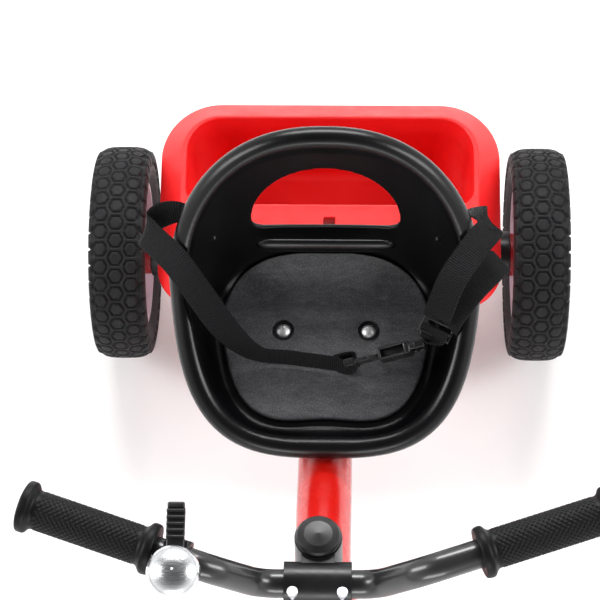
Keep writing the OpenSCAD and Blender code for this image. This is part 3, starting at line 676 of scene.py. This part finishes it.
def lobe(a):
    """Reach of the outline to the front or the rear, 0 to 1, at angle a."""
    s = np.sin(a)
    return np.where(s > 0, np.abs(s) ** FRONT_POWER, np.abs(s) ** REAR_POWER)


def wing(a):
    """Reach of the outline to the left or the right, -1 to 1, at angle a."""
    return np.where(np.sin(a) > 0, spow(np.cos(a), FRONT_POWER), spow(np.cos(a), REAR_POWER))


def rim_at(a):
    """The line through the middle of the rolled rim."""
    front, q = np.sin(a) > 0, lobe(a)
    x = SEAT_W * wing(a) * np.where(front, 1 - FRONT_TAPER * q, 1)
    d = SEAT_MID + np.where(front, SEAT_F * q, -SEAT_R * q)
    h = RIM_H + np.where(front, -58 * q + 5 * q ** 2, 85 * q + 36 * q ** 2)
    return np.stack([x, AXLE_Y - d, AXLE_Z + h], -1)


def floor_at(a, s, lift=0.0):
    """The seat's floor, squarer at the back than the rim and dipped in at the front."""
    front, q = np.sin(a) > 0, lobe(a)
    x = s * FLOOR_W * np.where(front, wing(a) * (1 - FRONT_TAPER * q),
                               spow(np.cos(a), FLOOR_POWER))
    d = BOLT_D + np.where(front, FLOOR_F * s * q - 6 * s * s * q * np.exp(-(x / 38) ** 2),
                          -FLOOR_R * s * np.abs(np.sin(a)) ** FLOOR_POWER)
    h = FLOOR_H + 36 * (np.maximum(0, 116 - d) / 32) ** 1.5 + lift
    return np.stack([x, AXLE_Y - d, AXLE_Z + h], -1)


def outward(a):
    """Level unit direction from the floor's edge to the rim."""
    v = rim_at(a) - floor_at(a, 1)
    v[:, 2] = 0
    return v / np.linalg.norm(v, axis=1)[:, None]


def wall_at(a, w):
    """Inner wall, from the rim at w = 0 to the floor's edge at w = 1."""
    q = lobe(a)
    e = np.where(np.sin(a) > 0, 1.8, 1.8 - 0.65 * q ** 2)
    foot, top = floor_at(a, 1), rim_at(a) - outward(a) * (ROLL_R - 1)
    p = mix(top, foot, w)
    p[:, 2] = mix(foot[:, 2], top[:, 2], (1 - w) ** e)
    return p


def roll_at(a, turn):
    """The rim's roll: turn goes round it from straight outward, by way of up."""
    p = rim_at(a) + outward(a) * ROLL_R * math.cos(turn)
    p[:, 2] += ROLL_R * math.sin(turn)
    return p


def skirt_at(a, w):
    """Outer wall, a shell thickness away from the inner one."""
    p = wall_at(a, w) + outward(a) * SHELL_T * math.cos(math.pi / 2 * w)
    p[:, 2] -= SHELL_T * math.sin(math.pi / 2 * w)
    return p


turns = np.radians((np.arange(300) + 0.5) * 1.2)
rings = [floor_at(turns, s) for s in (0.04, 0.2, 0.4, 0.6, 0.8, 0.92)]
rings += [wall_at(turns, w) for w in np.linspace(1, 0.04, 26)]
rings += [roll_at(turns, math.radians(t)) for t in np.linspace(165, -62, 18)]
rings += [skirt_at(turns, w) for w in np.linspace(0.2, 1, 22)]
rings += [floor_at(turns, s, -SHELL_T) for s in (0.92, 0.8, 0.6, 0.4, 0.2, 0.04)]
seat = loft("seat_shell_moulding", rings, SEAT_BLACK)

# The D-shaped handle hole, cut square to the reclined back
RECLINE = math.radians(17)
HOLE_W, HOLE_H, CORNER_R = 64.5, 71, 11  # half width, height of the arch, lower corners
outline = []
for t in np.linspace(0, math.pi, 61)[1:-1]:
    outline.append((HOLE_W * math.cos(t), CORNER_R + HOLE_H * math.sin(t)))
for side, start in ((-1, math.pi), (1, 1.5 * math.pi)):
    for t in np.linspace(start, start + 0.5 * math.pi, 10):
        outline.append((side * (HOLE_W - CORNER_R) + CORNER_R * math.cos(t),
                        CORNER_R + CORNER_R * math.sin(t)))
tilt = math.pi / 2 - RECLINE
hole_up = np.array([0, math.cos(tilt), math.sin(tilt)])
hole_out = np.array([0, -math.sin(tilt), math.cos(tilt)])
hole_at = at(0, 75, 262)
cut(seat, loft("hole", [[hole_at + np.array([px, 0, 0]) + hole_up * py + hole_out * z
                         for px, py in outline] for z in (-45, 45)], None))
for side in (-1, 1):
    cut(seat, lathe("hole", [(4.2, -14), (4.2, 14)], at(side * BOLT_X, BOLT_D, FLOOR_H),
                    UP, None, 40))
# A ridge under the handle hole, blended into the back by the remesh
RIDGE_R, RIDGE_W = 8.4, 62  # half height and half width
ridge = []
for u in np.linspace(-1, 1, 41):
    half = RIDGE_R * max(0.04, 1 - abs(u) ** 9) ** 0.5
    centre = at(RIDGE_W * u, 85.5, 250.5) + hole_up * 3.2 + hole_out * 2.2
    ridge.append([centre + hole_up * half * math.cos(t)
                  + hole_out * half * math.sin(t) * (0.68 if math.sin(t) > 0 else 0.14)
                  for t in np.linspace(0, 2 * math.pi, 32, endpoint=False)])
combine(seat, loft("ridge", ridge, None), "UNION")
remesh(seat, 1.3, 14)
seat.data.materials.clear()
seat.data.materials.append(SEAT_BLACK)
piece(seat, "frame", "seat_plastic", "seat_shell")

# The grained pad: a crowned foam sheet with a rolled edge, dished at the bolts
PAD_GAP, PAD_T = 1.1, 6.0
PAD_EDGE, PAD_HOLE_R = 0.93, 9.6
DIMPLE, DIMPLE_SPREAD, WAVE = 1.6, 6.5, 0.28
steps = [0.03, 0.2, 0.4, 0.6, 0.75, 0.85, 0.9, PAD_EDGE]
back_reach = np.where(np.sin(turns) < 0, 1 + 0.045 * lobe(turns) ** 2, 1.0)
rings = [floor_at(turns, s * back_reach, PAD_GAP + PAD_T + 0.6 * (1 - s ** 2)) for s in steps]
for t in np.linspace(15, 165, 7):
    q = math.radians(t)
    rings.append(floor_at(turns, (PAD_EDGE + 0.022 * math.sin(q)) * back_reach,
                          PAD_GAP + PAD_T / 2 + PAD_T / 2 * math.cos(q)))
rings += [floor_at(turns, s * back_reach, PAD_GAP) for s in steps[::-1]]
pad = loft("seat_pad_cushion", rings, PAD)
for side in (-1, 1):
    cut(pad, lathe("hole", [(PAD_HOLE_R, -4), (PAD_HOLE_R, 20)],
                   at(side * BOLT_X, BOLT_D, FLOOR_H), UP, None, 64))
remesh(pad, 0.9, 8)
co = coords(pad)
top = smooth((normals(pad)[:, 2] - 0.2) / 0.5)
for side in (-1, 1):
    c = at(side * BOLT_X, BOLT_D, FLOOR_H)
    far = np.hypot(co[:, 0] - c[0], co[:, 1] - c[1])
    co[:, 2] -= top * DIMPLE * np.exp(-((far - 9.5) / DIMPLE_SPREAD) ** 2)
waves = (np.sin(co[:, 0] / 17.0 + 1.3 * np.sin(co[:, 1] / 29.0))
         * np.sin(co[:, 1] / 21.0 + 0.8 * np.sin(co[:, 0] / 23.0)))
co[:, 2] += top * WAVE * waves
set_coords(pad, co)
pad.data.materials.clear()
pad.data.materials.append(PAD)
piece(pad, "frame", "pad_grey", "seat_pad")

# Domed bolts; each row of numbers is a radius and a height
HEAD_R, HEAD_H = 6.7, 4.2
dome = [(0.3, 4.9)] + [(HEAD_R * math.sin(t), 0.6 + HEAD_H * math.cos(t))
                       for t in np.linspace(0.12, math.pi / 2, 16)]
dome += [(6.5, 0.1), (4, 0), (4, -23.8), (0.3, -24)]
for side, tag in ((1, "left"), (-1, "right")):
    ob = lathe("seat_bolt_" + tag, dome, at(side * BOLT_X, BOLT_D, FLOOR_H + 1.5),
               UP, BOLT_STEEL, 64)
    piece(ob, "frame", "chrome", "seat_bolts")

# ------------------------------------------------------------------- belt

WEB_W, WEB_T = 25.0, 1.6
STEPS_PER_STATION = 26


def curve_through(p, per):
    """A smooth line through points, with per steps between each two."""
    p = np.asarray(p, float)
    ext = np.vstack([2 * p[0] - p[1], p, 2 * p[-1] - p[-2]])
    out = []
    for k in range(len(p) - 1):
        a, b, c, d = ext[k:k + 4]
        for t in np.linspace(0, 1, per, endpoint=False):
            out.append(0.5 * (2 * b + (c - a) * t + (2 * a - 5 * b + 4 * c - d) * t ** 2
                              + (3 * b - a - 3 * c + d) * t ** 3))
    out.append(p[-1])
    return np.array(out)


def strap(name, stations, node, end_round=False):
    """Flat webbing: each station is a centre point and the direction of its width.

    node is the CAD node it stands for, or None.
    """
    line = curve_through([s[0] for s in stations], STEPS_PER_STATION)
    wide = curve_through([unit(s[1]) for s in stations], STEPS_PER_STATION)
    ahead = np.gradient(line, axis=0)
    ahead /= np.linalg.norm(ahead, axis=1)[:, None]
    wide -= ahead * np.sum(wide * ahead, axis=1)[:, None] * 0.6
    wide /= np.linalg.norm(wide, axis=1)[:, None]
    thick = np.cross(ahead, wide)
    thick /= np.linalg.norm(thick, axis=1)[:, None]
    run = np.concatenate([[0], np.cumsum(np.linalg.norm(np.diff(line, axis=0), axis=1))])
    across = np.linspace(-1, 1, 23)
    edge = (1 - np.abs(across) ** 10) ** 0.5 * 0.85 + 0.15
    selvedge = 1 + 0.25 * np.exp(-((np.abs(across) - 0.9) / 0.05) ** 2)
    shape = np.concatenate([np.stack([across, edge * selvedge], 1),
                            np.stack([across[::-1], -(edge * selvedge)[::-1]], 1)])
    n = len(shape)
    rows = []
    for k in range(len(line)):
        taper = 1.0
        if end_round:
            left = (run[-1] - run[k]) / 3.0
            taper = 1 - 0.12 * (1 - min(1, left)) ** 2
        rows.append(line[k] + np.outer(shape[:, 0] * WEB_W / 2 * taper, wide[k])
                    + np.outer(shape[:, 1] * WEB_T / 2, thick[k]))
    ob = loft(name, rows, WEBBING)
    uv = ob.data.uv_layers.new(name="weave")
    pos = np.array([[(shape[i % n, 0] + 1) / 2, run[min(i // n, len(run) - 1)]]
                    for i in range(len(rows) * n)])
    loops = np.empty(len(ob.data.loops), int)
    ob.data.loops.foreach_get("vertex_index", loops)
    uv.data.foreach_set("uv", pos[loops].ravel())
    return piece(ob, "frame", "webbing", *([node] if node else []))


strap("strap_left", [
    [at(86, 71, 264), (0, 0, 1)], [at(98, 75, 266), (0, 0, 1)],
    [at(112, 75, 272), (0, -4, 24)], [at(124, 68, 284), (3, -12, 21)],
    [at(137, 74, 293), (6, -20, 12)], [at(142, 86, 298), (12, -20, 4)],
    [at(130, 103, 300), (17, -15, -2)], [at(110, 130, 289), (20, -9, 0)],
    [at(100, 148, 264), (20, -8, 0)], [at(97, 154, 252), (20, -8, -2)]], "belt_left")
strap("strap_tail", [
    [at(106, 157, 243), (12, -19, -8)], [at(113, 148, 256), (13, -19, -8)],
    [at(127, 134, 273), (14, -19, -6)], [at(141, 120, 277), (15, -18, -4)],
    [at(152, 107, 272), (14, -17, -4)]], "belt_tail", True)
strap("strap_right", [
    [at(-86, 71, 264), (0, 0, 1)], [at(-98, 75, 266), (0, 0, 1)],
    [at(-112, 75, 270), (0, 4, 24)], [at(-126, 68, 281), (0, 9, 21)],
    [at(-143, 70, 279), (-1, 15, 19)], [at(-155, 80, 278), (5, 18, 14)],
    [at(-153, 90, 283), (12, 19, 8)], [at(-129, 115, 287), (16, 18, 5)],
    [at(-107, 140, 267), (22, 13, -1)], [at(-86, 161, 236), (22, 6, 5)],
    [at(-62, 174, 214), (14, 3, 16)], [at(-30, 177, 210), (0, 5, 22)],
    [at(13, 183, 211), (0, 5, 22)]], "belt_right")
strap("strap_plug_loop", [
    [at(11, 183.6, 211.2), (0, 5, 22)], [at(16, 185.6, 211.6), (0, 5, 22)],
    [at(22, 186.2, 212.4), (0, 5, 22)], [at(26.5, 182.8, 213), (0, 5, 22)],
    [at(25, 178.9, 213.2), (0, 5, 22)], [at(18, 179.0, 212.6), (0, 5, 22)],
    [at(8, 181.4, 212), (0, 5, 22)]], None)
strap("strap_link", [
    [at(96, 160, 242), (20, -8, -3)], [at(94, 165, 236), (17, -6, 6)],
    [at(90, 168.4, 230), (10, -2, 17)], [at(85, 170, 226), (3, 3, 22)]], None)

# The buckle stands on its edge; its frame runs along it from the plug
BUCKLE_A, BUCKLE_B = at(18, 184, 212), at(94, 167, 227)
run = BUCKLE_B - BUCKLE_A
ON_BUCKLE = (Matrix.Translation(BUCKLE_A)
             @ Matrix.Rotation(math.atan2(run[1], run[0]), 4, "Z")
             @ Matrix.Rotation(-math.asin(run[2] / np.linalg.norm(run)), 4, "Y")
             @ Matrix.Rotation(math.radians(100), 4, "X"))
along = unit([-13.5, -25.5, -13])
over = unit(np.array([1.0, 0, 0]) - along * along[0])
up = np.cross(over, along)
ADJUSTER = at(97, 159, 238)
ON_ADJUSTER = Matrix([[along[i], over[i], -up[i], ADJUSTER[i]] for i in range(3)]
                     + [[0, 0, 0, 1]])

# Boxes as boxes() takes them: plug and its prongs, socket, then the ladder lock
plug = [((0, -14, -3.6), (3, 14, 3.6), 1.2), ((7.2, -14, -3.6), (10.5, 14, 3.6), 1.2),
        ((0, -14, -3.6), (10.5, -10.8, 3.6), 1.2), ((0, 10.8, -3.6), (10.5, 14, 3.6), 1.2),
        ((10, -2.2, -1.5), (30, 2.2, 1.5), 0.7)]
for s in (-1, 1):
    y = s * 10
    plug += [((10, y - 1.9, -1.9), (24, y + 1.9, 1.9), 0.9),
             ((22, y - 2.8, -2), (31, y + 2.8, 2), 1.0, 0.5)]
piece(boxes("buckle_plug_moulding", plug, SATIN_BLACK, ON_BUCKLE), "frame", "black_plastic",
      "buckle_plug")
socket = [((31, -15, -5.6), (34, 15, 5.6), 1.4), ((34, -8, -5.8), (57, 8, 5.8), 1.8),
          ((54, -15, -5.6), (60, 15, 5.6), 1.8), ((32, -15, 3.4), (58, 15, 5.6), 1.0),
          ((32, -15, -5.6), (58, 15, -3.4), 1.0), ((63.5, -13.5, -3.8), (66, 13.5, 3.8), 1.1),
          ((70, -13.5, -3.8), (73, 13.5, 3.8), 1.2), ((58, -13.5, -3.4), (73, -10.6, 3.4), 1.1),
          ((58, 10.6, -3.4), (73, 13.5, 3.4), 1.1)]
socket += [((38 + 4 * i, -7, 5.2), (39.6 + 4 * i, 7, 6.2), 0.4) for i in range(4)]
piece(boxes("buckle_socket_moulding", socket, SATIN_BLACK, ON_BUCKLE), "frame",
      "black_plastic", "buckle_socket")
lock = [((-8, -15, -2.6), (-5, 15, 2), 1.2), ((-1.6, -15, -2.6), (1.4, 15, 2), 1.2),
        ((4.6, -15, -2.6), (7.4, 15, 2), 1.2), ((-8, -15, -2.6), (8, -12.4, 2), 1.1),
        ((-8, 12.4, -2.6), (8, 15, 2), 1.1), ((7, -12, -2.4), (12, 12, -0.2), 0.9, 0.9)]
piece(boxes("adjuster_moulding", lock, SATIN_BLACK, ON_ADJUSTER), "frame", "black_plastic",
      "belt_adjuster")

# -------------------------------------------------------------------- bin

def rounded_ring(half_w, d0, d1, back_r, front_r, h, corner=16, side=12):
    """A rounded rectangle from d0 forward to d1, at height h."""
    out = []
    fx, fd, bx, bd = half_w - front_r, d1 - front_r, half_w - back_r, d0 + back_r
    centres = [(fx, fd, front_r), (-fx, fd, front_r), (-bx, bd, back_r), (bx, bd, back_r)]
    arcs = []
    for k, (cx, cd, r) in enumerate(centres):
        arcs.append([(cx + r * math.cos(math.radians(90 * (k + i / corner))),
                      cd + r * math.sin(math.radians(90 * (k + i / corner))))
                     for i in range(corner + 1)])
    for k, arc in enumerate(arcs):
        q = arcs[(k + 1) % 4][0]
        out += arc
        out += [(mix(arc[-1][0], q[0], i / side), mix(arc[-1][1], q[1], i / side))
                for i in range(1, side)]
    return [at(px, pd, h) for px, pd in out]


HALF, FRONT, REAR = 165.0, 81.0, -131.0  # half width, and reach forward and back
CREST = 23  # how far in from the skirt's lower edge its crest is
TUNNEL_R = 27  # clearance round the main tube
SCREW_X, SCREW_D, SCREW_R = (-84, -60, 60, 84), 16, 2.6


def skirt_ring(inset, h):
    """Round the flared skirt, from its lower edge at inset 0 to its crest."""
    t = inset / CREST
    return rounded_ring(HALF - inset, REAR + inset, FRONT - inset,
                        mix(58, 36, t), mix(41, 22, t), h)


def tub_ring(grow, drop, h):
    """Round the tub: drop runs from 0 at the rim to 1 at the floor."""
    return rounded_ring(138 - 13 * drop + grow, -106 + 8 * drop - grow, -17 - 17 * drop + grow,
                        max(6, 34 - 6 * drop + grow), max(4, 16 + grow), h)


def deck_ring(half_w, front, h):
    """On the deck, close round the tub's rim at the sides and the back."""
    return rounded_ring(half_w, -107.6 + (141.4 - half_w) * 0.3, front, 35, 20, h)


# Outer skirt up to the deck, in over the deck, down the tub, then back underneath
rings = [skirt_ring(0.5, 65.2), skirt_ring(0, 66.2), skirt_ring(0.5, 67.4),
         skirt_ring(2.2, 69.4), skirt_ring(8, 75.6), skirt_ring(14, 81.8),
         skirt_ring(18.4, 86.6), skirt_ring(20, 88.2), skirt_ring(21, 89.3),
         skirt_ring(21.8, 90.1), skirt_ring(22.6, 90.5), deck_ring(141.4, 57.4, 90.5),
         deck_ring(140.8, 55, 90.1), deck_ring(140.4, 50, 90.0), deck_ring(140.0, -8, 90.0),
         deck_ring(139.8, -13, 90.0), tub_ring(1.5, 0, 90.2), tub_ring(0.9, 0, 90.0),
         tub_ring(0.4, 0, 89.2), tub_ring(0.0, 0.01, 87.5)]
rings += [tub_ring(0, t, 88 - 114 * t) for t in (0.06, 0.2, 0.4, 0.6, 0.8, 0.88)]
for q in np.linspace(12, 90, 8):
    c = math.radians(q)
    rings.append(tub_ring(-10 * (1 - math.cos(c)), 0.9 + 0.1 * math.sin(c),
                          -26 + 12 * (1 - math.sin(c))))
rings += [tub_ring(-14, 1, -26), tub_ring(-24, 1, -26)]
under = [tub_ring(-22, 1, -29), tub_ring(-8, 1, -29), tub_ring(-1, 1, -26.5),
         tub_ring(2.8, 0.9, -16), tub_ring(3, 0.5, 31), tub_ring(2.9, 0.05, 82),
         tub_ring(2.4, 0, 86.4)]
rings = rings[::-1] + [skirt_ring(2.6, 65.2), skirt_ring(3.2, 66.6), skirt_ring(5, 69),
                       skirt_ring(19, 83.6), skirt_ring(22.0, 86.2)] + under[::-1]
tub = loft("bin_moulding", rings, BIN_RED)
slot_cut = [rounded_ring(5.75, -3.5, 9.5, 1.2, 1.2, h, 4, 3) for h in (78, 100)]
cut(tub, loft("hole", slot_cut, None))
foot, head = at(0, 0, -8), FRONT_AXLE + np.array([0, math.sin(RAKE), math.cos(RAKE)]) * 240
cut(tub, lathe("hole", [(TUNNEL_R, 0), (TUNNEL_R, np.linalg.norm(head - foot))], foot,
               head - foot, None, 72))
for x in SCREW_X:
    cut(tub, lathe("hole", [(SCREW_R, -8), (SCREW_R, 8)], at(x, SCREW_D, 88), UP, None, 24))
tub.data.materials.clear()
tub.data.materials.append(BIN_RED)
crisp(tub)
piece(tub, "frame", "bin_red", "bin")

# --------------------------------------------------------- handlebar, grips

ELBOW = at(82, 422, 455)
GRIP_LINE = unit([92.5, 31, 0])
BAR_R = 11.0
CLAMP = (FRONT_AXLE + 385 * np.array([0, math.sin(RAKE), math.cos(RAKE)])
         - 33 * np.array([0, math.cos(RAKE), -math.sin(RAKE)]))
MIRROR = np.array([-1.0, 1, 1])
BAR_LEN, CLAMP_HALF, BEND_R = 145, 45.0, 28


def bend(a, b, c, r):
    """Points round the corner at b between a and c, at radius r."""
    u, v = unit(b - a), unit(c - b)
    turn = math.acos(float(np.dot(u, v)))
    inward = unit(v - u * np.dot(u, v))
    centre = b - u * r * math.tan(turn / 2) + inward * r
    return [centre - inward * r * math.cos(t) + u * r * math.sin(t)
            for t in np.linspace(0, turn, 14)]


corners = [ELBOW + GRIP_LINE * BAR_LEN, ELBOW, CLAMP + np.array([CLAMP_HALF, 0, 0])]
corners += [p * MIRROR for p in corners[::-1]]
path = [corners[0]]
for i in range(1, 5):
    path += bend(corners[i - 1], corners[i], corners[i + 1], BEND_R)
path.append(corners[-1])
piece(tube("handlebar_tube", path, BAR_R, BLACK_PAINT), "steering", "black_paint", "handlebar")

GRIP_FROM, GRIP_LEN, GRIP_R, FLANGE_R = 41.0, 108.0, 15.0, 20.0
KNURLS, KNURL_SLANT, KNURL_DEPTH = 22, 1.45, 0.55


def knurl(r, z, t):
    """Diamond knurl on the sleeve only."""
    rr = np.full(len(t), float(r))
    fade = smooth((z - 13) / 2.5) * smooth((GRIP_LEN - 13 - z) / 2.5)
    if r < GRIP_R + 0.6 and fade > 0:
        a = np.cos(t * KNURLS + z * KNURL_SLANT)
        b = np.cos(t * KNURLS - z * KNURL_SLANT)
        rr += fade * KNURL_DEPTH * (np.minimum(a, b) * 0.8 + 0.1)
    return rr


profile = rounded_profile([(11.1, 0.2), (FLANGE_R - 1, 0.2), (FLANGE_R, 3), (FLANGE_R, 7),
                           (GRIP_R + 1, 10), (GRIP_R, 12)], 2.0)
profile += [(GRIP_R, z) for z in np.arange(12.5, GRIP_LEN - 12, 0.55)]
profile += rounded_profile([(GRIP_R, GRIP_LEN - 12), (GRIP_R + 1, GRIP_LEN - 10),
                            (FLANGE_R, GRIP_LEN - 7.5), (FLANGE_R, GRIP_LEN - 1.5),
                            (FLANGE_R - 4, GRIP_LEN), (8, GRIP_LEN - 0.6), (6.5, GRIP_LEN - 2),
                            (0.4, GRIP_LEN - 2.2)], 1.6)
inside = [(0.4, GRIP_LEN - 3.2), (11.1, GRIP_LEN - 3.2), (11.1, 0.4)]
for side, tag in ((1, "left"), (-1, "right")):
    flip = np.array([side, 1.0, 1.0])
    ob = lathe("grip_sleeve_" + tag, profile + inside, (ELBOW + GRIP_LINE * GRIP_FROM) * flip,
               GRIP_LINE * flip, GRIP_RUBBER, 220, knurl)
    piece(ob, "steering", "grip_rubber", "grip_" + tag)

# ------------------------------------------------------------------- bell

PIVOT = (ELBOW + GRIP_LINE * 24) * MIRROR
DOME_R, DOME_H, DOME_T = 20, 12, 1.6
lever = [((-7, -7, 0), (7, 34, 3), 1.3)]
lever += [((-7, 9.5 + i * 5, 1.5), (7, 12.3 + i * 5, 5.2), 0.9) for i in range(5)]
lever += [((-6.5, 33, 0), (6.5, 38, 4.6), 1.5), ((-3, -3, -5), (3, 3, 2), 1.5)]
ob = boxes("bell_lever_moulding", lever, SATIN_BLACK,
           Matrix.Translation(PIVOT + np.array([0, 0, 17.8])))
piece(ob, "bell_lever", "black_plastic", "bell_lever")
dome = [(18.2, 0.3), (18.6, 0), (DOME_R, 0), (20.2, 0.8)]
dome += [(DOME_R * math.cos(t), 1 + DOME_H * math.sin(t)) for t in np.linspace(0.04, 1.5, 22)]
dome += [(0.3, 13.05), (0.3, 11.6)]
dome += [((DOME_R - DOME_T) * math.cos(t), 11.4 * math.sin(t))
         for t in np.linspace(1.5, 0.04, 14)]
ob = lathe("bell_dome_spun", dome, PIVOT + np.array([0, -17, 28.2]), UP, CHROME, 96)
piece(ob, "steering", "chrome", "bell_dome")
